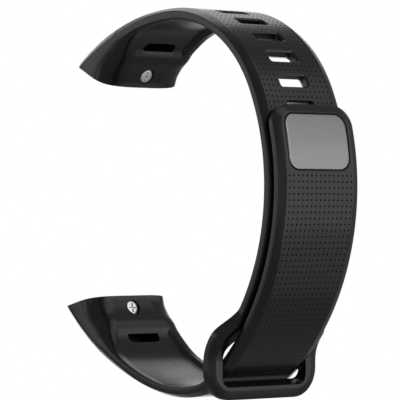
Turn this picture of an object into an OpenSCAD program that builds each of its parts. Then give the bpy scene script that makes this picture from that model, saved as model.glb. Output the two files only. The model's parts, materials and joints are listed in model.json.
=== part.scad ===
// Band for a clip-in fitness tracker: two rubber straps without the tracker.
// The slotted strap ends in a loop. The tail strap passes through the loop,
// folds up over the slotted strap and is held there by two pegs in its slots.
// Y is the wrist's axis, +Z is up, and the tracker's seat opens towards -X.

/* [Straps] */
// Width of both straps between their ends
strap_w = 18.9; // [17:0.1:20]
// Thickness of the slotted strap
strap_t = 2; // [1.8:0.1:2.2]
// Thickness of the tail strap
tail_t = 1.9; // [1.7:0.1:2]
// Distance between the outer faces of the tail and the slotted strap
stack = 2.48; // [2.45:0.01:2.7]
// Width of the bevel along the outer edges
bevel_w = 1.6; // [0.8:0.1:1.8]
// Depth of the bevel along the outer edges
bevel_d = 0.65; // [0.3:0.05:0.8]
// Chamfer along the inner edges
inner_chamfer = 0.35; // [0.2:0.05:0.5]

/* [Strap ends] */
// Width of the ends beside the tracker
end_w = 19.4; // [19:0.1:20.5]
// Height of the upper end's face that meets the tracker
upper_h = 9.5; // [9:0.1:10]
// Height of the lower end's face that meets the tracker
lower_h = 8.7; // [8.5:0.1:9.5]
// Radius of the rounded inner edges of the ends
end_corner = 4.5; // [3:0.1:5]
// Depth of the recessed panel behind the ends
panel_d = 0.75; // [0.4:0.05:0.9]
// Width of the tracker tongue's socket
socket_w = 12; // [10:0.1:12.4]
// Height of the tracker tongue's socket
socket_h = 2.2; // [1.8:0.1:2.4]
// Depth of the tracker tongue's socket
socket_l = 4.8; // [4:0.1:5]

/* [Slots] */
// Number of adjustment slots
slot_count = 10; // [8:1:11]
// Distance between slots, measured on the outer face
slot_pitch = 5.35; // [5.2:0.05:5.4]
// Size of a slot across the strap
slot_w = 6.4; // [6:0.1:6.8]
// Size of a slot along the strap
slot_l = 2.3; // [2.2:0.05:2.5]

/* [Loop] */
// Width of the loop outside
loop_w = 25.3; // [24.8:0.1:26]
// Width of the loop's window
window_w = 19.8; // [19.4:0.1:20.4]
// Height of the crossbar below the window
crossbar_h = 2.3; // [2:0.1:2.6]
// Radius of the loop's lower corners
loop_corner = 4.5; // [3.5:0.1:5]

/* [Clasp] */
// Width of the clasp plate across the tail
plate_w = 14.2; // [12:0.1:14.6]
// Length of the clasp plate along the tail
plate_l = 9.9; // [9:0.1:10.4]
// Thickness of the clasp plate
plate_t = 0.8; // [0.6:0.1:0.9]
// Radius of the clasp plate's corners
plate_corner = 2.2; // [1.5:0.1:3]
// Size of a peg's head across the tail
head_w = 5.4; // [5:0.1:5.8]
// Size of a peg's head along the tail
head_l = 1.3; // [1.2:0.05:1.4]

/* [Hidden] */

rubber = [0.13, 0.13, 0.14];
nylon = [0.2, 0.2, 0.22];
steel = [0.72, 0.73, 0.75];
brass = [0.78, 0.65, 0.36];

ring_step = 1.5;        // longest step between two sections of a strap
fine_step = 0.5;        // the same where the strap widens into the loop
corner_steps = 5;       // sides of an end's rounded inner edge
cut = 0.01;             // overshoot of a cut
round_sides = 48;

// Outer face of the slotted strap: [radius, degrees] of each arc from the upper end.
// Arcs turn clockwise; negative ones turn back, and radius 0 is a straight length.
wrist_r = 40.6;
upper_arcs = [[46.7, 36.8], [25.45, 63.35], [wrist_r, 68.6], [-6, -42], [0, 6.4]];
upper_start = [-27.09, 25.72, 36.7];

// Arcs of the tail strap's outer face from the lower end, before its tail.
tail_r = wrist_r + stack;
foot_polar = 56;        // where the tail's arc begins, in degrees below the wrist's centre line
tip_polar = 19.6;       // where the tail ends, in degrees above it
lower_arcs = [[44.7, 17.1], [55, 18.6], [27.9, 23.2], [9.5, 22], [tail_r, foot_polar + tip_polar]];

// A place on a path is [x, z, heading].
function step(p, a) = a[0] == 0
    ? [p[0] + a[1] * cos(p[2]), p[1] + a[1] * sin(p[2]), p[2]]
    : [p[0] + a[0] * (sin(p[2]) - sin(p[2] - a[1])), p[1] + a[0] * (cos(p[2] - a[1]) - cos(p[2])), p[2] - a[1]];
function length_of(a) = a[0] == 0 ? a[1] : a[0] * a[1] * PI / 180;
function part_of(a, s) = a[0] == 0 ? [0, s] : [a[0], s / a[0] * 180 / PI];
function along(p, arcs, s, i = 0) =
    i == len(arcs) - 1 || s <= length_of(arcs[i])
    ? step(p, part_of(arcs[i], s))
    : along(step(p, arcs[i]), arcs, s - length_of(arcs[i]), i + 1);
function total(arcs, count, i = 0) = i == count ? 0 : length_of(arcs[i]) + total(arcs, count, i + 1);
function walk_back(p, arcs, i) = i < 0 ? p : walk_back(step_back(p, arcs[i]), arcs, i - 1);
function step_back(p, a) = let(h = p[2] + a[1])
    [p[0] - a[0] * (sin(h) - sin(p[2])), p[1] - a[0] * (cos(p[2]) - cos(h)), h];

// Centre of the wrist's arc, shared by the slotted strap and the tail.
bend_end = along(upper_start, upper_arcs, total(upper_arcs, 2));
wrist_c = [bend_end[0] + wrist_r * sin(bend_end[2]), bend_end[1] - wrist_r * cos(bend_end[2])];

// The tail strap is drawn upside down, so that both straps start at their upper left.
foot = [wrist_c[0] + tail_r * cos(foot_polar), -wrist_c[1] + tail_r * sin(foot_polar), foot_polar - 90];
lower_start = walk_back(foot, lower_arcs, 3);
UPPER = [upper_start, upper_arcs];
LOWER = [lower_start, lower_arcs];

function place(path, s) = along(path[0], path[1], s);
function spot(path, s, y, depth) = let(p = place(path, s))
    [p[0] + depth * sin(p[2]), y, p[1] - depth * cos(p[2])];
function upper_s(polar) = total(upper_arcs, 2) + wrist_r * (bend_end[2] + 90 - polar) * PI / 180;
function tail_s(polar) = total(lower_arcs, 4) + tail_r * (foot_polar + polar) * PI / 180;

function mix(a, b, t) = a + (b - a) * min(max(t, 0), 1);
function ease(t) = let(u = min(max(t, 0), 1)) u * u * (3 - 2 * u);
function profile(s, knots, i = 0) =
    i == len(knots) - 2 || s < knots[i + 1][0]
    ? mix(knots[i][1], knots[i + 1][1], (s - knots[i][0]) / (knots[i + 1][0] - knots[i][0]))
    : profile(s, knots, i + 1);

// Depth of the ends below the outer face, by distance from the tip.
// The lower end's, then what the upper end adds to it.
end_depths = [[-5, 12.2], [3.75, 8.9], [6, 7.3], [11, 5.9], [13, 4.8], [17, 3.2], [20, 2.7], [30, 2.1], [42, 0]];
upper_extra = [[-5, 1.1], [3.75, 0.9], [6, 0.8], [11, 0.3], [30, 0.2], [42, 0]];
panel_from = 11.3;      // where the recessed panel begins
panel_fade = 15;        // where it begins to fade
panel_to = 22;          // where it has faded out
slope = 0.8;            // width of the panel's sloping rim
side_share = 0.4;       // straight part of an end's side walls

upper_tip = 0.2;        // where the straps are trimmed at the tracker
lower_tip = -0.2;
upper_flex = 26;        // where the ends bend
lower_flex = 24;
upper_lean = 62.2;      // direction of the sockets
lower_lean = 74.2;

loop_from = upper_s(-33);
loop_wide = upper_s(-38);
loop_end = total(upper_arcs, 5);

function thickness(s, tip, t) = max(t, profile(s - tip, end_depths)
    + (tip == upper_tip ? max(0, profile(s - tip, upper_extra)) : 0));
function half_width(s, is_upper) = let(
    at_end = ease((30 - s) / 24),
    plain = strap_w / 2 + (end_w - strap_w) / 2 * at_end,
    wide = is_upper ? ease((s - loop_from) / (loop_wide - loop_from)) : 0,
    near = is_upper ? max(0, s - (loop_end - loop_corner)) : 0
) mix(plain, loop_w / 2, wide) - loop_corner + sqrt(max(0, loop_corner * loop_corner - near * near));

// One section across a strap: [y, depth] round its right half, then its left.
function half_section(w, side, corner, t, recess) = concat(
    [[w - bevel_w, 0], [w, bevel_d]],
    [for (k = [0:corner_steps]) let(a = 90 * k / corner_steps)
        [w - corner + corner * cos(a), side + (t - side) * sin(a)]],
    [[w - corner - 0.6, t], [w - corner - 0.6 - slope, t - recess]]
);
function section(s, tip, t, is_upper) = let(
    full = thickness(s, tip, t),
    w = half_width(s, is_upper),
    bulk = min(1, (full - t) / (lower_h - t)),
    side = mix(full - inner_chamfer, full * side_share, bulk * 2),
    corner = mix(inner_chamfer, end_corner, bulk * 1.6),
    fade = 1 - ease((s - tip - panel_fade) / (panel_to - panel_fade)),
    recess = panel_d * ease((s - tip - panel_from) / 1.2) * fade,
    half = half_section(w, side, corner, full, recess)
) concat(half, [for (i = [len(half) - 1:-1:0]) [-half[i][0], half[i][1]]]);

// A length of strap between two distances along its path.
function steps(from, to, longest) = let(n = ceil((to - from) / longest))
    [for (i = [1:n]) from + (to - from) * i / n];
module strap(path, from, to, tip, t, is_upper) {
    fine_from = is_upper ? min(to, loop_from) : to;
    stations = concat([from], steps(from, fine_from, ring_step), steps(fine_from, to, fine_step));
    count = len(stations) - 1;
    n = len(section(from, tip, t, is_upper));
    points = [for (s = stations, q = section(s, tip, t, is_upper)) spot(path, s, q[0], q[1])];
    sides = [for (i = [0:count - 1], j = [0:n - 1])
        [i * n + j, i * n + (j + 1) % n, (i + 1) * n + (j + 1) % n, (i + 1) * n + j]];
    caps = [[for (j = [n - 1:-1:0]) j], [for (j = [0:n - 1]) count * n + j]];
    polyhedron(points, concat(sides, caps), convexity = 6);
}

// Puts children at a place on a path: X along it and Z out of its outer face.
module on_path(path, s, depth = 0) {
    translate(spot(path, s, 0, depth)) rotate([0, -place(path, s)[2], 0]) children();
}

// Puts children at an end face's inner edge: X into the strap and Z towards the outside.
module at_end(path, tip, lean, h) {
    translate(spot(path, tip, 0, 0)) rotate([0, -lean, 0]) translate([0, 0, -h]) children();
}

// Puts children on the wrist's arc: X outwards from its centre.
module at_polar(polar) {
    translate([wrist_c[0], 0, wrist_c[1]]) rotate([0, -polar, 0]) children();
}

module upside_down() {
    mirror([0, 0, 1]) children();
}

// Rounded bar with flat ends up to down, its length along Y and its width along X.
module oblong(length, width, height) {
    linear_extrude(height) {
        square([width, length - width], center = true);
        for (side = [-1, 1])
            translate([0, side * (length - width) / 2]) circle(d = width, $fn = round_sides);
    }
}

// Round cross-pin that two lengths of one strap bend about.
knuckle_gap = 0.2;
knuckle_side = 0.12;
knuckle_w = strap_w - 2 * bevel_w - 1;
module knuckle(path, s, t, grow = 0) {
    on_path(path, s, t / 2) rotate([90, 0, 0])
        cylinder(h = knuckle_w + (grow > 0 ? 10 : 0), r = t / 2 - knuckle_side + grow, center = true,
            $fn = round_sides);
}

// The rigid insert's place inside an end, in at_end's frame.
shell_low = 1.2;
shell_top = 4.9;
shell_w = socket_w + 1.6;
shell_l = socket_l + 0.8;
socket_low = 2;
screw_x = 2.4;
boss_r = 2;
boss_top = 5.5;
nut_r = 1.5;
thread_r = 0.7;
head_r = 1.4;
head_hole_r = 1.5;
head_top = 0.1;
screw_tip = boss_top - 0.2;

module insert_block() {
    translate([0, -shell_w / 2, shell_low]) cube([shell_l, shell_w, shell_top - shell_low]);
    translate([screw_x, 0, shell_top - 0.5])
        cylinder(h = boss_top - shell_top + 0.5, r = boss_r, $fn = round_sides);
}

module end_insert(path, tip, lean, h) {
    at_end(path, tip, lean, h) difference() {
        insert_block();
        translate([-cut, -socket_w / 2, socket_low]) cube([socket_l + cut, socket_w, socket_h]);
        translate([screw_x, 0, socket_low + socket_h - cut]) cylinder(h = 5, r = nut_r, $fn = round_sides);
        translate([screw_x, 0, shell_low - cut]) cylinder(h = 2, r = thread_r + 0.15, $fn = round_sides);
    }
}

module thread_insert(path, tip, lean, h) {
    at_end(path, tip, lean, h) translate([screw_x, 0, socket_low + socket_h]) difference() {
        cylinder(h = boss_top - socket_low - socket_h, r = nut_r, $fn = round_sides);
        translate([0, 0, -cut]) cylinder(h = 5, r = thread_r, $fn = round_sides);
    }
}

module end_screw(path, tip, lean, h) {
    at_end(path, tip, lean, h) translate([screw_x, 0, 0]) difference() {
        union() {
            translate([0, 0, head_top]) cylinder(h = shell_low - head_top, r = head_r, $fn = round_sides);
            translate([0, 0, shell_low - cut]) cylinder(h = screw_tip - shell_low, r = thread_r, $fn = round_sides);
        }
        for (turn = [0, 90])
            translate([0, 0, head_top]) rotate([0, 0, turn]) cube([1.9, 0.4, 0.9], center = true);
    }
}

// A strap's end beside the tracker, up to where it bends.
oval_s = 12.7;
oval_w = 7.5;
oval_l = 2;
oval_depth = 2;
module strap_end(path, tip, lean, h, flex, is_upper) {
    t = is_upper ? strap_t : tail_t;
    joint_t = thickness(flex, tip, t);
    difference() {
        strap(path, tip - 4, flex, tip, t, is_upper);
        at_end(path, tip, lean, h) translate([-30, -20, -20]) cube([30, 40, 50]);
        at_end(path, tip, lean, h) insert_block();
        at_end(path, tip, lean, h) translate([screw_x, 0, -15])
            cylinder(h = 15 + shell_low, r = head_hole_r, $fn = round_sides);
        on_path(path, tip + oval_s, thickness(tip + oval_s, tip, t) - oval_depth) rotate([180, 0, 0])
            oblong(oval_w, oval_l, 6);
        knuckle(path, flex, joint_t, knuckle_gap);
    }
}

// A bending length of strap: a round nose at its start, or a socket for the last one's.
module strap_length(path, from, to, tip, t, is_upper, nose_from, nose_to) {
    difference() {
        union() {
            strap(path, from, to, tip, t, is_upper);
            if (nose_from) knuckle(path, from, thickness(from, tip, t));
            if (nose_to) knuckle(path, to, thickness(to, tip, t));
        }
        if (!nose_from) knuckle(path, from, thickness(from, tip, t), knuckle_gap);
    }
}

// Slots are counted from the one nearest to the upper end.
slot_from = 36.1;
slot_corner = 0.5;
peg_slots = [6, 7];
function slot_s(i) = slot_from + slot_pitch * i;

// Right side of the window upwards, or its left side downwards.
window_corner = 2;
window_shoulder = -25;
window_top = -21.8;
function window_side(side, low) = let(w = side * window_w / 2, up = [
    [w, low], [w, window_shoulder], [w - side * 2.4, window_top]
]) side > 0 ? up : [up[2], up[1], up[0]];

module upper_strap() {
    loop_low = place(UPPER, loop_end)[1];
    window_low = loop_low + crossbar_h;
    color(rubber) difference() {
        strap_length(UPPER, upper_flex, loop_end, upper_tip, strap_t, true, true, false);
        for (i = [0:slot_count - 1])
            on_path(UPPER, slot_s(i), 5) linear_extrude(10) rounded(slot_l, slot_w, slot_corner);
        rotate([90, 0, 90]) linear_extrude(40) offset(r = window_corner) offset(delta = -window_corner)
            polygon(concat(window_side(1, window_low), window_side(-1, window_low)));
    }
}

module rounded(w, h, r) {
    for (shape = [[w - 2 * r, h], [w, h - 2 * r]])
        square(shape, center = true);
    for (x = [-1, 1], y = [-1, 1])
        translate([x * (w / 2 - r), y * (h / 2 - r)]) circle(r = r, $fn = round_sides);
}

module upper_strap_end() {
    color(rubber) strap_end(UPPER, upper_tip, upper_lean, upper_h, upper_flex, true);
}

module upper_end_insert() {
    color(nylon) end_insert(UPPER, upper_tip, upper_lean, upper_h);
}

module upper_thread_insert() {
    color(brass) thread_insert(UPPER, upper_tip, upper_lean, upper_h);
}

module upper_end_screw() {
    color(steel) end_screw(UPPER, upper_tip, upper_lean, upper_h);
}

// The tail bends at three places, in degrees from the wrist's centre line.
tail_joints = [-42, -24, -6];

module lower_strap_run() {
    color(rubber) upside_down()
        strap_length(LOWER, lower_flex, tail_s(tail_joints[0]), lower_tip, tail_t, false, true, true);
}

module lower_strap_end() {
    color(rubber) upside_down() strap_end(LOWER, lower_tip, lower_lean, lower_h, lower_flex, false);
}

module lower_end_insert() {
    color(nylon) upside_down() end_insert(LOWER, lower_tip, lower_lean, lower_h);
}

module lower_thread_insert() {
    color(brass) upside_down() thread_insert(LOWER, lower_tip, lower_lean, lower_h);
}

module lower_end_screw() {
    color(steel) upside_down() end_screw(LOWER, lower_tip, lower_lean, lower_h);
}

module tail_length(i) {
    upside_down() strap_length(LOWER, tail_s(tail_joints[i]), tail_s(tail_joints[i + 1]), lower_tip,
        tail_t, false, false, true);
}

module tail_strap_low() {
    color(rubber) tail_length(0);
}

module tail_strap_mid() {
    color(rubber) tail_length(1);
}

// The clasp: a curved plate in the tail's face, a thin plate behind and two pegs.
plate_polar = 10.35;
plate_gap = 0.15;
back_w = 11;
back_l = 9;
back_t = 0.4;
tail_in_r = tail_r - tail_t;
peg_in_r = wrist_r - strap_t - 0.3;
peg_l = tail_r - plate_t - peg_in_r - 0.02;
neck_w = 4.6;
neck_l = 1;
head_t = 0.9;

// A length of the tail's wall between two radii, cut to a rounded outline.
module curved_plate(w, l, corner, inner, outer) {
    span = 1.4 * l / inner * 180 / PI;
    intersection() {
        at_polar(plate_polar - span / 2) rotate([90, 0, 0]) rotate_extrude(angle = span, $fn = 180)
            translate([inner, -w]) square([outer - inner, 2 * w]);
        at_polar(plate_polar) translate([inner - 2, 0, 0]) rotate([90, 0, 90]) linear_extrude(6)
            rounded(w, l, corner);
    }
}

module peg_shape(polar, length) {
    at_polar(polar) translate([peg_in_r, 0, 0]) rotate([0, 90, 0]) {
        oblong(head_w, head_l, head_t);
        oblong(neck_w, neck_l, length);
    }
}

function slot_polar(i) = bend_end[2] + 90 - (slot_s(i) - total(upper_arcs, 2)) / wrist_r * 180 / PI;

module tail_strap_tip() {
    color(rubber) difference() {
        upside_down() strap_length(LOWER, tail_s(tail_joints[2]), tail_s(tip_polar), lower_tip, tail_t,
            false, false, false);
        tip_corners();
        curved_plate(plate_w + 2 * plate_gap, plate_l + 2 * plate_gap, plate_corner, tail_r - plate_t, tail_r + 1);
        curved_plate(back_w, back_l, 1, tail_in_r - 1, tail_in_r + back_t);
        for (i = peg_slots)
            peg_shape(slot_polar(i), tail_r - peg_in_r);
    }
}

// What is cut away outside the tail tip's two rounded corners.
tip_corner = 4;
module tip_corners() {
    middle = strap_w / 2 - tip_corner;
    for (side = [-1, 1])
        at_polar(tip_polar) mirror([0, side > 0 ? 1 : 0, 0]) rotate([90, 0, 90]) linear_extrude(60)
            difference() {
                translate([middle, -tip_corner]) square(tip_corner + 2);
                translate([middle, -tip_corner]) circle(r = tip_corner, $fn = round_sides);
            }
}

module clasp_plate() {
    color(steel) curved_plate(plate_w, plate_l, plate_corner, tail_r - plate_t, tail_r);
}

module clasp_back_plate() {
    color(steel) difference() {
        curved_plate(back_w, back_l, 1, tail_in_r, tail_in_r + back_t);
        for (i = peg_slots)
            peg_shape(slot_polar(i), tail_r - peg_in_r);
    }
}

module clasp_peg_upper() {
    color(steel) peg_shape(slot_polar(peg_slots[0]), peg_l);
}

module clasp_peg_lower() {
    color(steel) peg_shape(slot_polar(peg_slots[1]), peg_l);
}

upper_strap();
upper_strap_end();
upper_end_insert();
upper_thread_insert();
upper_end_screw();
lower_strap_run();
lower_strap_end();
lower_end_insert();
lower_thread_insert();
lower_end_screw();
tail_strap_low();
tail_strap_mid();
tail_strap_tip();
clasp_plate();
clasp_back_plate();
clasp_peg_upper();
clasp_peg_lower();
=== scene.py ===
"""Looks of the fitness tracker band: rubber straps, clasp and screws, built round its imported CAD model."""
import json
import math

import bmesh
import bpy
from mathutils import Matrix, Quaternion, Vector


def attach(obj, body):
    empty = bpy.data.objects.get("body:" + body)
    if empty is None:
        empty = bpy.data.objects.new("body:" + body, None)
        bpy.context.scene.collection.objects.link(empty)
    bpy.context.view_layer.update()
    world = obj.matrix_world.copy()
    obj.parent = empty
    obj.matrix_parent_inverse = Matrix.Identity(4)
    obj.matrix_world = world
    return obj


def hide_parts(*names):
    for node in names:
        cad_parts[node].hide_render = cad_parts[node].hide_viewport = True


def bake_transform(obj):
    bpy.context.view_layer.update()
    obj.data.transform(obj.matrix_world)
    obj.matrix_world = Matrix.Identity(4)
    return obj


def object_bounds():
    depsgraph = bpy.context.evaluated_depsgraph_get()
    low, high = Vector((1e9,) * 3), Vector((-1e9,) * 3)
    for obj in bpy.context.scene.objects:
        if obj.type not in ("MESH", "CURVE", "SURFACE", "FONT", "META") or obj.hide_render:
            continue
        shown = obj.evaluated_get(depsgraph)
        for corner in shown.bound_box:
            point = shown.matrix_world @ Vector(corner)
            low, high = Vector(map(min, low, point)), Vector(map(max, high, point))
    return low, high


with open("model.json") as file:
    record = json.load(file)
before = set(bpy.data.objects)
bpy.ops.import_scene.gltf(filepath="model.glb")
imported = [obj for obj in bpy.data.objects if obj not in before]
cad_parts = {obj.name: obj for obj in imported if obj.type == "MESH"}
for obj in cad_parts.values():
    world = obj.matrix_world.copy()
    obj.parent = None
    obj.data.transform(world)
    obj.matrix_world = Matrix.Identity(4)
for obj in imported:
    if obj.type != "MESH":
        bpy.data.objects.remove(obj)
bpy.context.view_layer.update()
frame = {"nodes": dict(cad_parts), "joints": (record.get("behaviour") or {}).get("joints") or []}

MM = 0.001

# ---------------------------------------------------------------------------
# Sizes in millimetres and degrees. The straps' arcs repeat the CAD source's.
# ---------------------------------------------------------------------------
# The straps, and the bevel along the edges of their outer faces
STRAP_W = 18.9
STRAP_T = 2.0
TAIL_T = 1.9
STACK = 2.48
BEVEL_W = 1.6
BEVEL_D = 0.65
INNER_EDGE = 0.35
EDGE_ROUND = 0.12
SIDE_ROUND = 0.1

# The ends, which hold the tracker
END_W = 19.4
UPPER_H = 9.5
LOWER_H = 8.7
END_CORNER = 7.4
CORNER_POWER = 1.6
END_BEVEL_D = 1.6
UPPER_TIP = 0.2
LOWER_TIP = -0.2
UPPER_LEAN = 62.2
LOWER_LEAN = 74.2
LEAN_FADE = 16
# (distance from the tip, depth) of both ends, and how much deeper the upper one is
END_DEPTHS = [(-5, 12.2), (3.75, 8.9), (6, 7.3), (8.5, 6.4), (11, 5.9), (13, 4.8), (17, 3.25), (20, 2.7),
              (30, 2.1)]
UPPER_EXTRA = [(-5, 1.1), (3.75, 0.9), (6, 0.8), (8.5, 0.55), (11, 0.3), (20, 0.25), (30, 0.2), (42, 0)]

# The panel recessed into the wrist's side behind each end, and the oval slot in it
PANEL_D = 0.75
PANEL_FROM = 12.7
PANEL_FADE = 22.0
PANEL_TO = 44.0
PANEL_SLOPE = 0.6
OVAL_S = 13.7
OVAL_W = 7.2
OVAL_L = 2.1
OVAL_DEPTH = 3.0

# The pocket in each end for its insert, and the screw through it
SHELL_LOW = 1.2
SHELL_TOP = 4.9
SHELL_W = 13.6
SHELL_L = 5.6
SCREW_X = 2.4
BOSS_R = 2
BOSS_TOP = 5.5
HEAD_TOP = -0.2
HEAD_R = 1.4
HEAD_HOLE_R = 1.5
SHANK_R = 0.7

# The loop and its window, whose upper corners are cut off
LOOP_W = 25.8
LOOP_CORNER = 5.2
WINDOW_W = 19.8
WINDOW_TOP_W = 15.0
WINDOW_TOP = -23.2
WINDOW_SHOULDER = -26.0
WINDOW_CORNER = 2.0
CROSSBAR_H = 2.3
CROSSBAR_SLOPE = 0.95

# The adjustment slots and the dimples
SLOT_FROM = 36.1
SLOT_PITCH = 5.35
SLOT_COUNT = 10
SLOT_W = 6.4
SLOT_L = 2.3
SLOT_CORNER = 0.5
DIMPLE_COLUMNS = 15
DIMPLE_PITCH = SLOT_PITCH / 5
DIMPLE_R = 0.16
DIMPLE_DEPTH = 0.2

# The wrist's arc. A polar angle is in degrees above the arc's centre line.
WRIST_R = 40.6
TAIL_R = WRIST_R + STACK
TIP_POLAR = 19.85
TIP_CORNER = 4.0
FOOT_POLAR = 56.0
LOOP_POLAR = -42.05
JOINT_POLAR = 26.55

# The straps' arcs (radius, degrees) or lengths (0, mm), before and after the start of the wrist's arc.
# Most were fitted to the photo's outline by least squares in another program, and rounded.
UPPER_BEFORE = [(46.7, 36.8), (25.45, 63.35)]
UPPER_AFTER = [(WRIST_R, JOINT_POLAR - LOOP_POLAR), (-6, -42), (0, 6.4)]
LOWER_BEFORE = [(44.7, 17.1), (55, 18.6), (27.9, 23.2), (9.5, 22)]

# The clasp: its plate, the plate on the wrist's side, and the slots that hold its pegs
PLATE_POLAR = 10.6
PLATE_W = 14.2
PLATE_L = 9.9
PLATE_T = 0.8
PLATE_CORNER = 2.2
PLATE_GAP = 0.15
BACK_W = 11
BACK_L = 9
BACK_T = 0.4
PEG_IN = WRIST_R - STRAP_T - 0.3
PEG_SLOTS = (6, 7)

# The camera, the softboxes and the floor. Lengths are in metres here, but the lens is in millimetres.
# The distance, lens, roll and upright shift come from the same fit as the arcs.
AIM = Vector((-0.82, 0, -0.5)) * MM
AZIMUTH = math.radians(49.3)
DISTANCE = 0.537
LENS = 265.8
SHIFT = (-0.009475, 0.013225)
ROLL = 0.18
SOFTBOX_SIZE = 0.3
SOFTBOX_DISTANCE = 0.62
# (degrees right of the camera, degrees above the horizon, watts). Another program picked these from a list
# of positions, and fitted their watts and WORLD_LIGHT to the photo's tones. They were then rounded, and
# about half of the watts changed.
SOFTBOXES = (
    (82, -25, 0.09), (82, 0, 0.22), (82, 25, 0.13), (82, 50, 0.21),
    (60, -10, 0.35), (60, 20, 0.35), (105, 10, 0.16),
    (180, -12, 0.32), (180, 4, 0.42), (180, 38, 0.28), (180, 60, 0.4),
    (165, 10, 0.15), (-165, 10, 0.15),
    (-98, 10, 0.24), (-65, 0, 0.25), (-20, 0, 0.3), (20, 0, 0.1))
WORLD_LIGHT = 0.235
FLOOR_GAP = 0.0002


def mix(a, b, t):
    """From a to b as t goes from 0 to 1, and no further."""
    return a + (b - a) * min(max(t, 0.0), 1.0)


def ease(t):
    """A smooth step from 0 to 1."""
    t = min(max(t, 0.0), 1.0)
    return t * t * (3 - 2 * t)


def smooth_profile(s, knots):
    """A smooth curve through (s, value) knots."""
    if s <= knots[0][0]:
        return knots[0][1]
    for i in range(len(knots) - 1):
        (a, va), (b, vb) = knots[i], knots[i + 1]
        if s < b:
            before = knots[max(i - 1, 0)]
            after = knots[min(i + 2, len(knots) - 1)]
            slope_a = (vb - before[1]) / (b - before[0])
            slope_b = (after[1] - va) / (after[0] - a)
            t, span = (s - a) / (b - a), b - a
            return ((2 * t**3 - 3 * t**2 + 1) * va + (t**3 - 2 * t**2 + t) * span * slope_a
                    + (3 * t**2 - 2 * t**3) * vb + (t**3 - t**2) * span * slope_b)
    return knots[-1][1]


# ---------------------------------------------------------------------------
# Paths: the straps' outer faces seen from the side
# ---------------------------------------------------------------------------
def arc_length(arc):
    return arc[1] if arc[0] == 0 else arc[0] * math.radians(arc[1])


def step(place, arc):
    """The place (x, z, heading in degrees) after an arc (radius, degrees clockwise) or a length (0, mm)."""
    x, z, heading = place
    radius, turn = arc
    h = math.radians(heading)
    if radius == 0:
        return x + turn * math.cos(h), z + turn * math.sin(h), heading
    after = math.radians(heading - turn)
    return (x + radius * (math.sin(h) - math.sin(after)),
            z + radius * (math.cos(after) - math.cos(h)), heading - turn)


def step_back(place, arc):
    x, z, heading = place
    radius, turn = arc
    before, h = math.radians(heading + turn), math.radians(heading)
    return (x - radius * (math.sin(before) - math.sin(h)),
            z - radius * (math.cos(h) - math.cos(before)), heading + turn)


class Path:
    """A strap's outer face from its tip. A point on it is (s along, y across, depth below the face)."""

    def __init__(self, pivot, before, after, side, tip, lean, height):
        start = pivot
        for arc in reversed(before):
            start = step_back(start, arc)
        self.arcs = list(before) + list(after)
        self.places = [start]
        self.starts = [0.0]
        for arc in self.arcs:
            self.places.append(step(self.places[-1], arc))
            self.starts.append(self.starts[-1] + arc_length(arc))
        self.length = self.starts[-1]
        self.pivot_s = self.starts[len(before)]
        self.side = side
        self.tip = tip
        self.lean = math.radians(lean)
        self.height = height

    def place(self, s):
        i = 0
        while i < len(self.arcs) - 1 and s > self.starts[i + 1]:
            i += 1
        radius = self.arcs[i][0]
        rest = s - self.starts[i]
        return step(self.places[i], (0, rest) if radius == 0 else (radius, math.degrees(rest / radius)))

    def flat_point(self, s, depth):
        x, z, heading = self.place(s)
        h = math.radians(heading)
        return x + depth * math.sin(h), z - depth * math.cos(h)

    def lean_shift(self, depth):
        """How far along the path the end face is at this depth: the face is a plane that leans forward."""
        x0, z0 = self.flat_point(self.tip, 0)
        low, high = -1.0, 12.0
        for _ in range(24):
            middle = (low + high) / 2
            x, z = self.flat_point(self.tip + middle, depth)
            inside = (x - x0) * math.cos(self.lean) + (z - z0) * math.sin(self.lean) > 0
            low, high = (low, middle) if inside else (middle, high)
        return low

    def point(self, s, y, depth):
        x, z = self.flat_point(s, depth)
        return Vector((x, y, self.side * z)) * MM

    def end_point(self, x, y, z):
        """A place in the end face's frame: x into the strap, z towards the outside, from its inner edge."""
        x0, z0 = self.flat_point(self.tip, 0)
        z -= self.height
        return Vector((x0 + x * math.cos(self.lean) - z * math.sin(self.lean), y,
                       self.side * (z0 + x * math.sin(self.lean) + z * math.cos(self.lean)))) * MM


def wrist_centre():
    """The centre of the wrist's arc, from the places of the tail's three joints."""
    spots = {j["name"]: j["pos_m"] for j in frame["joints"]}
    names = ("tail_peel", "tail_bend_mid", "tail_bend_tip")
    (ax, _, az), (bx, _, bz), (cx, _, cz) = [spots[name] for name in names]
    a, b, c = ax * ax + az * az, bx * bx + bz * bz, cx * cx + cz * cz
    d = 2 * (ax * (bz - cz) + bx * (cz - az) + cx * (az - bz))
    x = (a * (bz - cz) + b * (cz - az) + c * (az - bz)) / d
    z = (a * (cx - bx) + b * (ax - cx) + c * (bx - ax)) / d
    return x / MM, z / MM


WRIST_X, WRIST_Z = wrist_centre()


def on_circle(radius, polar, side):
    """The place on the wrist's arc where the strap runs clockwise past this polar angle."""
    a = math.radians(polar)
    return WRIST_X + radius * math.cos(a), side * WRIST_Z + radius * math.sin(a), polar - 90


UPPER = Path(on_circle(WRIST_R, JOINT_POLAR, 1), UPPER_BEFORE, UPPER_AFTER, 1,
             UPPER_TIP, UPPER_LEAN, UPPER_H)
LOWER = Path(on_circle(TAIL_R, FOOT_POLAR, -1), LOWER_BEFORE, [(TAIL_R, FOOT_POLAR + TIP_POLAR)], -1,
             LOWER_TIP, LOWER_LEAN, LOWER_H)


def upper_s(polar):
    """How far along the slotted strap this polar angle is."""
    return UPPER.pivot_s + WRIST_R * math.radians(JOINT_POLAR - polar)


def tail_s(polar):
    """How far along the tail strap this polar angle is."""
    return LOWER.pivot_s + TAIL_R * math.radians(FOOT_POLAR + polar)


# ---------------------------------------------------------------------------
# Sections of the straps
# ---------------------------------------------------------------------------
ARC_STEPS = 10
COLUMNS = 2 * DIMPLE_COLUMNS + 1


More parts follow.
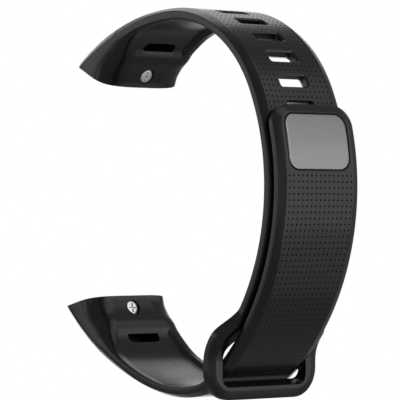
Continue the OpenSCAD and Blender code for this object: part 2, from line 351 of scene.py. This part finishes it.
def outer_fractions():
    """The outer face's columns: half a dimple's cell apart, but the last at the bevel's rounding."""
    flat = STRAP_W / 2 - BEVEL_W
    half = (COLUMNS - 1) // 2
    ys = [flat * k / half for k in range(-half, half + 1)]
    ys[0], ys[-1] = -(flat - EDGE_ROUND), flat - EDGE_ROUND
    return [y / (flat - EDGE_ROUND) for y in ys]


OUTER_FRACTIONS = outer_fractions()


def soften(a, corner, b, reach, steps=3):
    """Points round the corner of a bent line from a to b, beginning and ending this far from the corner."""
    def towards(p):
        share = reach / math.hypot(p[0] - corner[0], p[1] - corner[1])
        return [corner[i] + (p[i] - corner[i]) * share for i in (0, 1)]

    start, end = towards(a), towards(b)
    points = []
    for k in range(steps + 1):
        t = k / steps
        u, v, w = (1 - t) ** 2, 2 * t * (1 - t), t * t
        points.append(tuple(u * start[i] + v * corner[i] + w * end[i] for i in (0, 1)))
    return points


def thickness(path, s):
    """The strap's depth: that of the end near its tip, and the plain strap's beyond 42 mm."""
    knots = END_DEPTHS + [(36, path.t + 0.04), (42, path.t), (200, path.t)]
    extra = smooth_profile(s - path.tip, UPPER_EXTRA) if path is UPPER else 0
    return max(path.t, smooth_profile(s - path.tip, knots) + max(0, extra))


LOOP_FROM = upper_s(-33)
LOOP_WIDE = upper_s(-41.5)


def half_width(path, s):
    """Half the strap's width, which is greater at the ends and at the loop."""
    plain = STRAP_W / 2 + (END_W - STRAP_W) / 2 * ease((30 - s) / 24)
    wide = ease((s - LOOP_FROM) / (LOOP_WIDE - LOOP_FROM)) if path is UPPER else 0
    return mix(plain, LOOP_W / 2, wide)


def ring_of(path, s, edge_s=None, half=None, turn=0.0):
    """Points (s, y, depth) round the strap: outer face, down the right edge, back inside, up the left edge.

    The edge's point is at (edge_s, half), and its inward direction has turned by this many degrees from
    straight across, as it does round a corner of the outline.
    """
    edge_s = s if edge_s is None else edge_s
    half = half_width(path, s) if half is None else half
    full = thickness(path, s)
    bulk = min(1, (full - path.t) / (LOWER_H - path.t))
    corner = mix(INNER_EDGE, END_CORNER, bulk**1.2)
    side = mix(full - INNER_EDGE, full * 0.32, bulk * 2)
    bevel = mix(END_BEVEL_D, BEVEL_D, ease((s - path.tip - 12) / 18))
    bevel = min(bevel, side - 0.3)
    wall = [(0, bevel), (0, side)]
    edge = soften((BEVEL_W + 1, 0), (BEVEL_W, 0), wall[0], EDGE_ROUND)
    edge += soften((BEVEL_W, 0), wall[0], wall[1], SIDE_ROUND)
    for k in range(ARC_STEPS + 1):
        a = math.radians(90 * k / ARC_STEPS)
        inwards = corner * (1 - math.cos(a)) ** mix(1, CORNER_POWER, bulk)
        edge.append((inwards, side + (full - side) * math.sin(a)))
    along, across = math.sin(math.radians(turn)), math.cos(math.radians(turn))

    outer_s, outer_y = edge_s - along * edge[0][0], half - across * edge[0][0]
    points = [(outer_s, f * outer_y, 0.0) for f in OUTER_FRACTIONS]
    points += [(edge_s - along * o, half - across * o, d) for o, d in edge[1:-1]]

    land = mix(0.2, 0.8, (s - path.tip - 11) / 7)
    recess = PANEL_D * ease((s - path.tip - PANEL_FROM) / 0.55)
    recess *= 1 - ease((s - path.tip - PANEL_FADE) / (PANEL_TO - PANEL_FADE))
    reach = half - corner
    middle = (COLUMNS - 1) // 2
    floor = reach - land - PANEL_SLOPE
    ys = [reach, reach - land] + [floor * (middle - k) / (middle - 2) for k in range(2, middle + 1)]
    ys += [-y for y in reversed(ys[:-1])]
    depths = [full if k in (0, 1, COLUMNS - 2, COLUMNS - 1) else full - recess for k in range(COLUMNS)]
    scale = (half - across * corner) / reach
    points += [(edge_s - along * corner, y * scale, d) for y, d in zip(ys, depths)]
    points += [(edge_s - along * o, -(half - across * o), d) for o, d in reversed(edge[1:-1])]
    return points


EDGE_POINTS = 4 + 4 + ARC_STEPS + 1
RING_POINTS = 2 * COLUMNS + 2 * (EDGE_POINTS - 2)


def inner_index(k):
    """The ring's index of an inner column, counted from the right."""
    return COLUMNS + EDGE_POINTS - 2 + k


def right_index(k):
    return COLUMNS - 1 + k if k < EDGE_POINTS - 1 else inner_index(0)


def left_index(k):
    if k == 0:
        return 0
    return inner_index(COLUMNS - 1) + EDGE_POINTS - 1 - k


def leaned_rings(path, stations, fade_to):
    """Rings that begin in the leaning plane of the end face and straighten up along the strap."""
    samples = [path.tip + 0.1 * k for k in range(-10, 300)]
    table = [ring_of(path, s) for s in samples]
    depth_step = 0.25
    shifts = [path.lean_shift(depth_step * k) for k in range(60)]

    def shift(depth):
        k = min(int(depth / depth_step), len(shifts) - 2)
        return mix(shifts[k], shifts[k + 1], depth / depth_step - k)

    rings = []
    for station in stations:
        fade = 1 - ease((station - path.tip) / fade_to)
        ring = []
        for j in range(RING_POINTS):
            last = None
            for k, s in enumerate(samples):
                over = s - station - fade * shift(table[k][j][2])
                if over >= 0 and last is not None:
                    t = -last / (over - last)
                    before, after = table[k - 1][j], table[k][j]
                    ring.append(tuple(before[i] + (after[i] - before[i]) * t for i in range(3)))
                    break
                last = over
        rings.append(ring)
    return rings


# ---------------------------------------------------------------------------
# Meshes
# ---------------------------------------------------------------------------
def mesh_object(name, points, faces):
    mesh = bpy.data.meshes.new(name)
    mesh.from_pydata([tuple(p) for p in points], [], faces)
    build = bmesh.new()
    build.from_mesh(mesh)
    loose = [v for v in build.verts if not v.link_faces]
    bmesh.ops.delete(build, geom=loose, context="VERTS")
    bmesh.ops.recalc_face_normals(build, faces=build.faces)
    build.to_mesh(mesh)
    build.free()
    obj = bpy.data.objects.new(name, mesh)
    bpy.context.scene.collection.objects.link(obj)
    return obj


def smooth(obj, angle=32):
    for polygon in obj.data.polygons:
        polygon.use_smooth = True
    obj.data.set_sharp_from_angle(angle=math.radians(angle))


def lofted(name, rings):
    """A closed solid through rings of equally many points."""
    n = len(rings[0])
    points = [p for ring in rings for p in ring]
    faces = [tuple(range(n - 1, -1, -1)), tuple((len(rings) - 1) * n + j for j in range(n))]
    for i in range(len(rings) - 1):
        for j in range(n):
            k = (j + 1) % n
            faces.append((i * n + j, i * n + k, (i + 1) * n + k, (i + 1) * n + j))
    return mesh_object(name, points, faces)


def cut(obj, *cutters):
    """Takes cutters, which may not overlap one another, out of a solid."""
    points, faces = [], []
    for cutter in cutters:
        base = len(points)
        points += [v.co.copy() for v in cutter.data.vertices]
        faces += [tuple(base + v for v in p.vertices) for p in cutter.data.polygons]
        bpy.data.objects.remove(cutter)
    tool = mesh_object("cutter", points, faces)
    modifier = obj.modifiers.new("cut", "BOOLEAN")
    modifier.operation = "DIFFERENCE"
    modifier.solver = "EXACT"
    modifier.object = tool
    bpy.context.view_layer.update()
    made = bpy.data.meshes.new_from_object(obj.evaluated_get(bpy.context.evaluated_depsgraph_get()))
    obj.modifiers.clear()
    obj.data = made
    bpy.data.objects.remove(tool)


def rounded_rect(w, l, r, steps=4, side_steps=1):
    """Points (across, along) round a rectangle with rounded corners."""
    corners = []
    for quarter, (sx, sy) in enumerate([(1, 1), (-1, 1), (-1, -1), (1, -1)]):
        for k in range(steps + 1):
            a = math.radians(90 * (quarter + k / steps))
            corners.append((sx * (w / 2 - r) + r * math.cos(a), sy * (l / 2 - r) + r * math.sin(a)))
    points = []
    for k, corner in enumerate(corners):
        points.append(corner)
        if k % (steps + 1) == steps:
            after = corners[(k + 1) % len(corners)]
            for i in range(1, side_steps):
                points.append(tuple(corner[j] + (after[j] - corner[j]) * i / side_steps for j in (0, 1)))
    return points


def circle(r, sides=32):
    turns = [2 * math.pi * k / sides for k in range(sides)]
    return [(r * math.cos(a), r * math.sin(a)) for a in turns]


def add_dimple(path, points, faces, rim, s, y):
    """Fills a cell, whose rim's eight points begin at its lower left, with a small pit."""
    profile = (DIMPLE_R + 0.03, 0), (DIMPLE_R - 0.02, DIMPLE_DEPTH * 0.6), (DIMPLE_R * 0.5, DIMPLE_DEPTH)
    rings = []
    for radius, depth in profile:
        rings.append([len(points) + k for k in range(8)])
        for k in range(8):
            a = math.radians(225 + 45 * k)
            points.append(path.point(s + radius * math.sin(a), y + radius * math.cos(a), depth))
    for low, high in ((rim, rings[0]), (rings[0], rings[1]), (rings[1], rings[2])):
        for k in range(8):
            n = (k + 1) % 8
            faces.append((low[k], low[n], high[n], high[k]))
    faces.append(tuple(rings[2]))


def ring_spots(path, from_s, to_s, leaned):
    """Where a skin's rings go: (s, its number on the grid of half cells), or (s, None) off that grid."""
    half_cell = DIMPLE_PITCH / 2
    low = math.ceil((from_s - path.grid) / half_cell - 0.01)
    high = math.floor((to_s - path.grid) / half_cell + 0.01)
    spots = [(path.grid + k * half_cell, k) for k in range(low, high + 1)]
    if leaned:
        spots = [(from_s, None), (from_s + 0.12, None)] + [spot for spot in spots if spot[0] > from_s + 0.3]
    elif spots[0][0] > from_s + 0.01:
        spots = [(from_s, None)] + [spot for spot in spots if spot[0] > from_s + 0.15]
    if spots[-1][0] < to_s - 0.01:
        spots = [spot for spot in spots if spot[0] < to_s - 0.15] + [(to_s, None)]
    return spots


def rim_point(s, y, depth):
    """A point of the end face's rim, drawn in a little so that the face's edge is soft."""
    return s, y * 0.99, 0.1 + (depth - 0.1) * 0.985 if depth > 1 else depth * 0.9 + 0.1


def round_tip_rings(path, to_s, radius):
    """Rings that turn with the rounded corners of the strap's outline at its end."""
    half = half_width(path, to_s)
    rings = []
    for turn in range(9, 91, 9):
        a = math.radians(turn)
        edge_s, edge_y = to_s - radius + radius * math.sin(a), half - radius + radius * math.cos(a)
        rings.append(ring_of(path, to_s, edge_s, edge_y, turn))
    return rings


def add_dimples(path, points, faces, spots, rings, wants_dimple):
    """Adds the dimples, and returns the faces (ring, column) of the skin whose place they take."""
    n = RING_POINTS
    pitted = set()
    for r in range(len(spots) - 2):
        (_, a), (s, b), (_, c) = spots[r:r + 3]
        if a is None or b is None or c is None or b % 2:
            continue
        for column in range(DIMPLE_COLUMNS):
            j = 2 * column
            y = rings[r + 1][j + 1][1]
            if not wants_dimple(s, y):
                continue
            pitted |= {(r, j), (r, j + 1), (r + 1, j), (r + 1, j + 1)}
            rim = [r * n + j, r * n + j + 1, r * n + j + 2, (r + 1) * n + j + 2,
                   (r + 2) * n + j + 2, (r + 2) * n + j + 1, (r + 2) * n + j, (r + 1) * n + j]
            add_dimple(path, points, faces, rim, s, y)
    return pitted


def strap_skin(name, path, from_s, to_s, wants_dimple, leaned=False, tip_round=0.0):
    """A length of strap as one closed solid with its dimples."""
    spots = ring_spots(path, from_s, to_s - tip_round, leaned)
    rings = []
    leaning = [s for s, _ in spots if leaned and s < path.tip + LEAN_FADE]
    if leaned:
        rings += leaned_rings(path, leaning, LEAN_FADE)
        rings[0] = [rim_point(*q) for q in rings[0]]
    rings += [ring_of(path, s) for s, _ in spots[len(leaning):]]
    if tip_round:
        rings += round_tip_rings(path, to_s, tip_round)
    points = [path.point(*q) for ring in rings for q in ring]
    n = RING_POINTS
    faces = []
    pitted = add_dimples(path, points, faces, spots, rings, wants_dimple)
    for r in range(len(rings) - 1):
        for j in range(n):
            if (r, j) in pitted:
                continue
            k = (j + 1) % n
            faces.append((r * n + j, r * n + k, (r + 1) * n + k, (r + 1) * n + j))
    faces.append(tuple(range(n - 1, -1, -1)))
    last = (len(rings) - 1) * n
    if tip_round:
        add_round_cap(path, points, faces, rings[-1], last)
    else:
        faces.append(tuple(last + j for j in range(n)))
    return mesh_object(name, points, faces)


def add_round_cap(path, points, faces, ring, last):
    """Closes a strap's end with the edge's own profile."""
    grid = []
    for k in range(EDGE_POINTS):
        if k == 0:
            grid.append([last + j for j in range(COLUMNS)])
            continue
        if k == EDGE_POINTS - 1:
            grid.append([last + inner_index(COLUMNS - 1 - j) for j in range(COLUMNS)])
            continue
        right = ring[right_index(k)]
        row = [last + left_index(k)]
        for j in range(1, COLUMNS - 1):
            outer, inner = ring[j][1], ring[inner_index(COLUMNS - 1 - j)][1]
            row.append(len(points))
            points.append(path.point(right[0], mix(outer, inner, k / (EDGE_POINTS - 1)), right[2]))
        grid.append(row + [last + right_index(k)])
    for k in range(EDGE_POINTS - 1):
        for j in range(COLUMNS - 1):
            faces.append((grid[k][j], grid[k][j + 1], grid[k + 1][j + 1], grid[k + 1][j]))


# ---------------------------------------------------------------------------
# What is cut out of the straps
# ---------------------------------------------------------------------------
def round_cutter(path, r, low, high):
    """A cylinder round the end screw's axis."""
    return lofted("cutter", [[path.end_point(SCREW_X + x, y, z) for x, y in circle(r)] for z in (low, high)])


def oval_cutter(path):
    """An oval slot square to the strap's inner face, with a softened rim."""
    def floor_point(s):
        return path.point(s, 0, thickness(path, s) - PANEL_D)

    s = path.tip + OVAL_S
    along = (floor_point(s + 1) - floor_point(s - 1)).normalized()
    out = Vector((0, path.side, 0)).cross(along)
    rings = []
    for height, grow in ((-OVAL_DEPTH, 0), (-0.25, 0), (0.15, 0.3)):
        outline = rounded_rect(OVAL_W + grow, OVAL_L + grow, (OVAL_L + grow) / 2 - 0.02, 8)
        rings.append([floor_point(s) + (along * l + Vector((0, w, 0)) + out * height) * MM
                      for w, l in outline])
    return lofted("cutter", rings)


def cut_end(obj, path):
    """The pocket for the insert, its boss, the screw's hole and the oval slot."""
    box = [(-1, -SHELL_W / 2), (SHELL_L, -SHELL_W / 2), (SHELL_L, SHELL_W / 2), (-1, SHELL_W / 2)]
    cut(obj, lofted("cutter", [[path.end_point(x, y, z) for x, y in box] for z in (SHELL_LOW, SHELL_TOP)]))
    cut(obj, round_cutter(path, BOSS_R, SHELL_TOP - 0.5, BOSS_TOP),
        round_cutter(path, HEAD_HOLE_R, -4, SHELL_LOW + 0.2))
    cut(obj, oval_cutter(path))


def slot_cutter(i):
    """An adjustment slot, flared a little at both faces."""
    s = SLOT_FROM + SLOT_PITCH * i
    rings = []
    for depth, grow in ((STRAP_T + 0.1, 0.45), (1.45, 0), (0.28, 0), (-0.08, 0.36)):
        outline = rounded_rect(SLOT_W + 2 * grow, SLOT_L + 2 * grow, SLOT_CORNER + grow * 0.6, 4)
        rings.append([UPPER.point(s + l, w, depth) for w, l in outline])
    return lofted("cutter", rings)


def window_outline(low):
    """Points (y, z) round the window, whose upper corners are cut off."""
    half, top = WINDOW_W / 2, WINDOW_TOP_W / 2
    corners = [(half, low), (half, WINDOW_SHOULDER), (top, WINDOW_TOP),
               (-top, WINDOW_TOP), (-half, WINDOW_SHOULDER), (-half, low)]
    points = []
    for k, corner in enumerate(corners):
        before, after = corners[k - 1], corners[(k + 1) % len(corners)]
        reach = WINDOW_CORNER if k in (0, 5) else 1.0
        points += soften(before, corner, after, reach, 8)
    return points


def window_cutter():
    """The loop's window, with the crossbar's top sloping down towards the front."""
    front_x, front_z = UPPER.flat_point(UPPER.length, 0)
    rings = []
    for x in (front_x - 3, front_x + 8):
        low = front_z + CROSSBAR_H + CROSSBAR_SLOPE * (front_x - x) / STRAP_T
        rings.append([Vector((x, y, z)) * MM for y, z in window_outline(low)])
    return lofted("cutter", rings)


def wrist_point(polar, y, radius):
    """A place on the wrist's arc: polar is in degrees above its centre line."""
    a = math.radians(polar)
    return Vector((WRIST_X + radius * math.cos(a), y, WRIST_Z + radius * math.sin(a))) * MM


def plate_rings(w, l, corner, levels):
    """Rings of a rounded rectangle on the wrist's arc, one for each (inset, radius)."""
    rings = []
    for inset, radius in levels:
        outline = rounded_rect(w - 2 * inset, l - 2 * inset, max(corner - inset, 0.08), 8, 12)
        rings.append([wrist_point(PLATE_POLAR + math.degrees(b / TAIL_R), a, radius) for a, b in outline])
    return rings


# ---------------------------------------------------------------------------
# The straps
# ---------------------------------------------------------------------------
# Each strap's thickness, and a place on it where a row of dimples would lie
UPPER.t, UPPER.grid = STRAP_T, SLOT_FROM
LOWER.t, LOWER.grid = TAIL_T, tail_s(PLATE_POLAR) - 6.0


def upper_dimple(s, y):
    """Whether the slotted strap has a dimple here: not at its end, on its loop or round a slot."""
    if s < UPPER_TIP + 1.2 or s > LOOP_FROM + 1:
        return False
    nearest = min(max(round((s - SLOT_FROM) / SLOT_PITCH), 0), SLOT_COUNT - 1)
    return abs(s - SLOT_FROM - SLOT_PITCH * nearest) > 1.5 * DIMPLE_PITCH or abs(y) > 3.6


def lower_dimple(s, _):
    """Whether the tail strap has a dimple here: not at its end or beside the clasp's plate."""
    return LOWER_TIP + 1.2 < s < tail_s(PLATE_POLAR) - PLATE_L / 2 - 0.5


upper_skin = strap_skin("upper_strap_skin", UPPER, UPPER_TIP, UPPER.length, upper_dimple, leaned=True,
                        tip_round=LOOP_CORNER)
cut_end(upper_skin, UPPER)
cut(upper_skin, *[slot_cutter(i) for i in range(SLOT_COUNT)])
cut(upper_skin, window_cutter())


def seam(s):
    """The nearest line between two rows of the tail's dimples."""
    return LOWER.grid + (round((s - LOWER.grid) / DIMPLE_PITCH - 0.5) + 0.5) * DIMPLE_PITCH


seams = [seam(47), seam(tail_s(-33)), seam(tail_s(-15)), tail_s(TIP_POLAR)]
lower_skin = strap_skin("lower_strap_skin", LOWER, LOWER_TIP, seams[0], lower_dimple, leaned=True)
cut_end(lower_skin, LOWER)
tail_low_skin = strap_skin("tail_low_skin", LOWER, seams[0], seams[1], lower_dimple)
tail_mid_skin = strap_skin("tail_mid_skin", LOWER, seams[1], seams[2], lower_dimple)
tail_tip_skin = strap_skin("tail_tip_skin", LOWER, seams[2], seams[3], lower_dimple, tip_round=TIP_CORNER)


def plate_cutter():
    """The clasp plate's recess in the tail's outer face, with a softened rim."""
    floor_r = TAIL_R - (PLATE_T + 0.05)
    levels = [(4.6, floor_r), (2.4, floor_r), (0, floor_r), (0, TAIL_R - 0.12), (-0.2, TAIL_R + 0.08),
              (-0.2, TAIL_R + 2)]
    return lofted("cutter", plate_rings(PLATE_W + 2 * PLATE_GAP, PLATE_L + 2 * PLATE_GAP,
                                        PLATE_CORNER + PLATE_GAP, levels))


def back_cutter():
    """The back plate's recess in the tail's inner face."""
    floor_r = TAIL_R - TAIL_T + BACK_T + 0.02
    levels = [(4.2, floor_r), (2, floor_r), (0, floor_r), (0, TAIL_R - TAIL_T - 0.5)]
    return lofted("cutter", plate_rings(BACK_W + 0.1, BACK_L + 0.1, 1, levels))


cut(tail_tip_skin, plate_cutter())
cut(tail_tip_skin, back_cutter())


# ---------------------------------------------------------------------------
# The clasp and the screws
# ---------------------------------------------------------------------------
def clasp_plate():
    """The plate in the tail's outer face, which follows the wrist's arc and has a softened edge."""
    top = [(inset, TAIL_R) for inset in (4.6, 3.4, 2.2, 1.2, 0.5, 0.16)]
    rim = [(0.05, TAIL_R - 0.04), (0, TAIL_R - 0.13)]
    bottom = [(inset, TAIL_R - PLATE_T) for inset in (0, 1, 2.6, 4.6)]
    return lofted("clasp_plate_face", plate_rings(PLATE_W, PLATE_L, PLATE_CORNER, top + rim + bottom))


def clasp_back():
    """The plate in the tail's inner face."""
    inner_r = TAIL_R - TAIL_T
    top = [(inset, inner_r + BACK_T) for inset in (4.2, 2, 0)]
    bottom = [(0, inner_r + 0.08)] + [(inset, inner_r) for inset in (0.08, 0.6, 2, 4.2)]
    return lofted("clasp_back_face", plate_rings(BACK_W, BACK_L, 1, top + bottom))


def slot_polar(i):
    """The polar angle of one of the adjustment slots."""
    return JOINT_POLAR - math.degrees((SLOT_FROM + SLOT_PITCH * i - UPPER.pivot_s) / WRIST_R)


def peg(name, polar):
    """A peg with its rounded head at the wrist's side."""
    a = math.radians(polar)
    outwards = Vector((math.cos(a), 0, math.sin(a)))
    along = Vector((-math.sin(a), 0, math.cos(a)))
    centre = Vector((WRIST_X, 0, WRIST_Z))
    # (width, length, height above the peg's inner end)
    levels = [(5, 0.9, 0), (5.3, 1.2, 0.06), (5.4, 1.3, 0.2), (5.4, 1.3, 0.75), (5.3, 1.2, 0.87),
              (4.6, 1.0, 0.9), (4.6, 1.0, TAIL_R - PLATE_T - PEG_IN - 0.02)]
    rings = []
    for w, l, height in levels:
        middle = centre + outwards * (PEG_IN + height)
        outline = rounded_rect(w, l, l / 2 - 0.02, 8)
        rings.append([(middle + along * b + Vector((0, y, 0))) * MM for y, b in outline])
    return lofted(name, rings)


plate = clasp_plate()
back_plate = clasp_back()
pegs = [peg("peg_face_upper", slot_polar(PEG_SLOTS[0])), peg("peg_face_lower", slot_polar(PEG_SLOTS[1]))]


def screw(name, path):
    """A small pan head with a cross recess, and its shank."""
    levels = [(0.8, HEAD_TOP), (1.1, HEAD_TOP + 0.02), (1.3, HEAD_TOP + 0.08), (HEAD_R, HEAD_TOP + 0.2),
              (HEAD_R, SHELL_LOW), (SHANK_R, SHELL_LOW + 0.01), (SHANK_R, BOSS_TOP - 0.2)]
    head = lofted(name, [[path.end_point(SCREW_X + x, y, z) for x, y in circle(r, 40)] for r, z in levels])
    for long_x, long_y in ((0.95, 0.19), (0.19, 0.95)):
        arm = []
        for z, k in ((HEAD_TOP - 0.3, 1.0), (HEAD_TOP + 0.12, 0.9), (HEAD_TOP + 0.5, 0.45)):
            x, y = long_x * k, long_y * k
            arm.append([path.end_point(SCREW_X + a, b, z) for a, b in ((-x, -y), (x, -y), (x, y), (-x, y))])
        cut(head, lofted("cutter", arm))
    return head


upper_screw = screw("upper_screw_face", UPPER)
lower_screw = screw("lower_screw_face", LOWER)


# ---------------------------------------------------------------------------
# Materials
# ---------------------------------------------------------------------------
def material(name):
    """A new material, its nodes and links, and its shader."""
    made = bpy.data.materials.new(name)
    made.use_nodes = True
    nodes, links = made.node_tree.nodes, made.node_tree.links
    return made, nodes, links, nodes["Principled BSDF"]


def noise(nodes, links, scale, detail, stretch=(1, 1, 1)):
    """Noise in object coordinates, whose scale is in waves a metre."""
    where = nodes.new("ShaderNodeTexCoord")
    mapping = nodes.new("ShaderNodeMapping")
    mapping.inputs["Scale"].default_value = stretch
    made = nodes.new("ShaderNodeTexNoise")
    made.inputs["Scale"].default_value = scale
    made.inputs["Detail"].default_value = detail
    links.new(where.outputs["Object"], mapping.inputs["Vector"])
    links.new(mapping.outputs["Vector"], made.inputs["Vector"])
    return made


def bump(nodes, links, shader, source, distance, strength):
    """The noise as relief, this many metres high."""
    made = nodes.new("ShaderNodeBump")
    made.inputs["Distance"].default_value = distance
    made.inputs["Strength"].default_value = strength
    links.new(source.outputs["Fac"], made.inputs["Height"])
    links.new(made.outputs["Normal"], shader.inputs["Normal"])


def ramp(nodes, links, source, shader, socket, low, high):
    """The noise's middle range, spread from low to high on one of the shader's sockets."""
    made = nodes.new("ShaderNodeMapRange")
    made.inputs["From Min"].default_value = 0.3
    made.inputs["From Max"].default_value = 0.7
    made.inputs["To Min"].default_value = low
    made.inputs["To Max"].default_value = high
    links.new(source.outputs["Fac"], made.inputs["Value"])
    links.new(made.outputs["Result"], shader.inputs[socket])


def rubber_material():
    made, nodes, links, shader = material("rubber_tpu")
    shader.inputs["Base Color"].default_value = (0.005, 0.005, 0.0052, 1)
    shader.inputs["Specular IOR Level"].default_value = 0.5
    grain = noise(nodes, links, 5200, 2)
    ramp(nodes, links, grain, shader, "Roughness", 0.22, 0.3)
    bump(nodes, links, shader, grain, 0.0000015, 0.6)
    return made


def steel_material(name, base, roughness, stretch, relief):
    """Steel whose grain is stretched along an axis where it is brushed."""
    made, nodes, links, shader = material(name)
    shader.inputs["Base Color"].default_value = (base, base, base * 1.01, 1)
    shader.inputs["Metallic"].default_value = 1
    grain = noise(nodes, links, 7000, 3, stretch)
    ramp(nodes, links, grain, shader, "Roughness", roughness - 0.03, roughness + 0.04)
    bump(nodes, links, shader, grain, 0.0000005, relief)
    return made


def nylon_material():
    made, nodes, links, shader = material("insert_nylon")
    shader.inputs["Base Color"].default_value = (0.028, 0.028, 0.03, 1)
    grain = noise(nodes, links, 3000, 2)
    ramp(nodes, links, grain, shader, "Roughness", 0.4, 0.5)
    bump(nodes, links, shader, grain, 0.0000015, 0.5)
    return made


def brass_material():
    made, nodes, links, shader = material("insert_brass")
    shader.inputs["Base Color"].default_value = (0.62, 0.46, 0.2, 1)
    shader.inputs["Metallic"].default_value = 1
    grain = noise(nodes, links, 2500, 2)
    ramp(nodes, links, grain, shader, "Roughness", 0.25, 0.36)
    return made


rubber = rubber_material()
clasp_steel = steel_material("clasp_steel", 0.26, 0.3, (1, 0.02, 1), 0.15)
screw_steel = steel_material("screw_steel", 0.85, 0.34, (1, 1, 1), 0.4)
nylon = nylon_material()
brass = brass_material()


def paint(obj, look):
    """Gives a piece its material."""
    obj.data.materials.clear()
    obj.data.materials.append(look)


for skin in (upper_skin, lower_skin, tail_low_skin, tail_mid_skin, tail_tip_skin):
    smooth(skin)
    paint(skin, rubber)
for piece in (plate, back_plate, *pegs):
    smooth(piece, 50)
    paint(piece, clasp_steel)
for piece in (upper_screw, lower_screw):
    smooth(piece, 30)
    paint(piece, screw_steel)
for name in ("upper_end_insert", "lower_end_insert"):
    paint(frame["nodes"][name], nylon)
for name in ("upper_thread_insert", "lower_thread_insert"):
    paint(frame["nodes"][name], brass)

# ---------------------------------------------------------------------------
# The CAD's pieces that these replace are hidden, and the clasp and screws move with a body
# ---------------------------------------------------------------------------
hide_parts("upper_strap", "upper_strap_end")
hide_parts("lower_strap_run", "lower_strap_end")
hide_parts("tail_strap_low")
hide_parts("tail_strap_mid")
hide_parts("tail_strap_tip")
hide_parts("clasp_plate")
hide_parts("clasp_back_plate")
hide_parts("clasp_peg_upper")
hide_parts("clasp_peg_lower")
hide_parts("upper_end_screw")
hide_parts("lower_end_screw")

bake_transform(upper_skin)
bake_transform(lower_skin)
for k, skin in enumerate((tail_low_skin, tail_mid_skin, tail_tip_skin)):
    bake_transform(skin)
for piece in (plate, back_plate, *pegs):
    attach(piece, "tail_tip")
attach(upper_screw, "upper_end")
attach(lower_screw, "lower_end")

# ---------------------------------------------------------------------------
# Floor, light and camera
# ---------------------------------------------------------------------------
TOWARDS_CAMERA = Vector((math.sin(AZIMUTH), -math.cos(AZIMUTH), 0))
RIGHT = Vector((math.cos(AZIMUTH), math.sin(AZIMUTH), 0))


def mixed_shader(nodes, links, choice_output, first, second, output_kind):
    """Sends one of two shaders to the output, by a node's output that is 0 or 1."""
    choice = nodes.new("ShaderNodeMixShader")
    output = nodes.new(output_kind)
    links.new(choice_output, choice.inputs["Fac"])
    links.new(first, choice.inputs[1])
    links.new(second, choice.inputs[2])
    links.new(choice.outputs["Shader"], output.inputs["Surface"])


def white_floor():
    """A plain white floor, clear from below, that neither lights the band nor shows in it."""
    low_corner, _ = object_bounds()
    bpy.ops.mesh.primitive_plane_add(size=4, location=(0, 0, low_corner[2] - FLOOR_GAP))
    floor = bpy.context.object
    floor.name = "floor"
    white = bpy.data.materials.new("floor_white")
    white.use_nodes = True
    nodes, links = white.node_tree.nodes, white.node_tree.links
    nodes.clear()
    bright = nodes.new("ShaderNodeEmission")
    clear = nodes.new("ShaderNodeBsdfTransparent")
    side = nodes.new("ShaderNodeNewGeometry")
    mixed_shader(nodes, links, side.outputs["Backfacing"], bright.outputs["Emission"], clear.outputs["BSDF"],
                 "ShaderNodeOutputMaterial")
    floor.visible_diffuse = False
    floor.visible_glossy = False
    floor.visible_shadow = False
    floor.data.materials.append(white)


def background(nodes, strength):
    made = nodes.new("ShaderNodeBackground")
    made.inputs["Color"].default_value = (1, 1, 1, 1)
    made.inputs["Strength"].default_value = strength
    return made.outputs["Background"]


def studio_world():
    """A white room, which the camera sees brighter than it lights the band."""
    world = bpy.data.worlds.new("studio")
    bpy.context.scene.world = world
    world.use_nodes = True
    nodes, links = world.node_tree.nodes, world.node_tree.links
    nodes.clear()
    rays = nodes.new("ShaderNodeLightPath")
    mixed_shader(nodes, links, rays.outputs["Is Camera Ray"],
                 background(nodes, WORLD_LIGHT), background(nodes, 1), "ShaderNodeOutputWorld")


def softbox(azimuth, elevation, power):
    """A square light facing the band, this many degrees right of the camera and above the horizon."""
    a, e = math.radians(azimuth), math.radians(elevation)
    data = bpy.data.lights.new(f"softbox_{azimuth}_{elevation}", "AREA")
    data.shape = "SQUARE"
    data.size = SOFTBOX_SIZE
    data.energy = power
    made = bpy.data.objects.new(data.name, data)
    bpy.context.scene.collection.objects.link(made)
    towards = TOWARDS_CAMERA * math.cos(a) + RIGHT * math.sin(a)
    made.location = AIM + SOFTBOX_DISTANCE * (towards * math.cos(e) + Vector((0, 0, math.sin(e))))
    made.rotation_euler = (AIM - made.location).to_track_quat("-Z", "Y").to_euler()
    made.visible_camera = False


def studio_camera():
    """The camera, level with the band and looking at its middle."""
    data = bpy.data.cameras.new("camera")
    data.sensor_width = 36
    data.lens = LENS
    data.shift_x, data.shift_y = SHIFT
    data.clip_start = 0.01
    data.clip_end = 20
    made = bpy.data.objects.new("camera", data)
    bpy.context.scene.collection.objects.link(made)
    bpy.context.scene.camera = made
    made.location = AIM + TOWARDS_CAMERA * DISTANCE
    roll = Quaternion((0, 0, 1), math.radians(ROLL))
    made.rotation_euler = ((-TOWARDS_CAMERA).to_track_quat("-Z", "Y") @ roll).to_euler()


white_floor()
studio_world()
for azimuth, elevation, power in SOFTBOXES:
    softbox(azimuth, elevation, power)
studio_camera()
bpy.context.scene.view_settings.view_transform = "Standard"
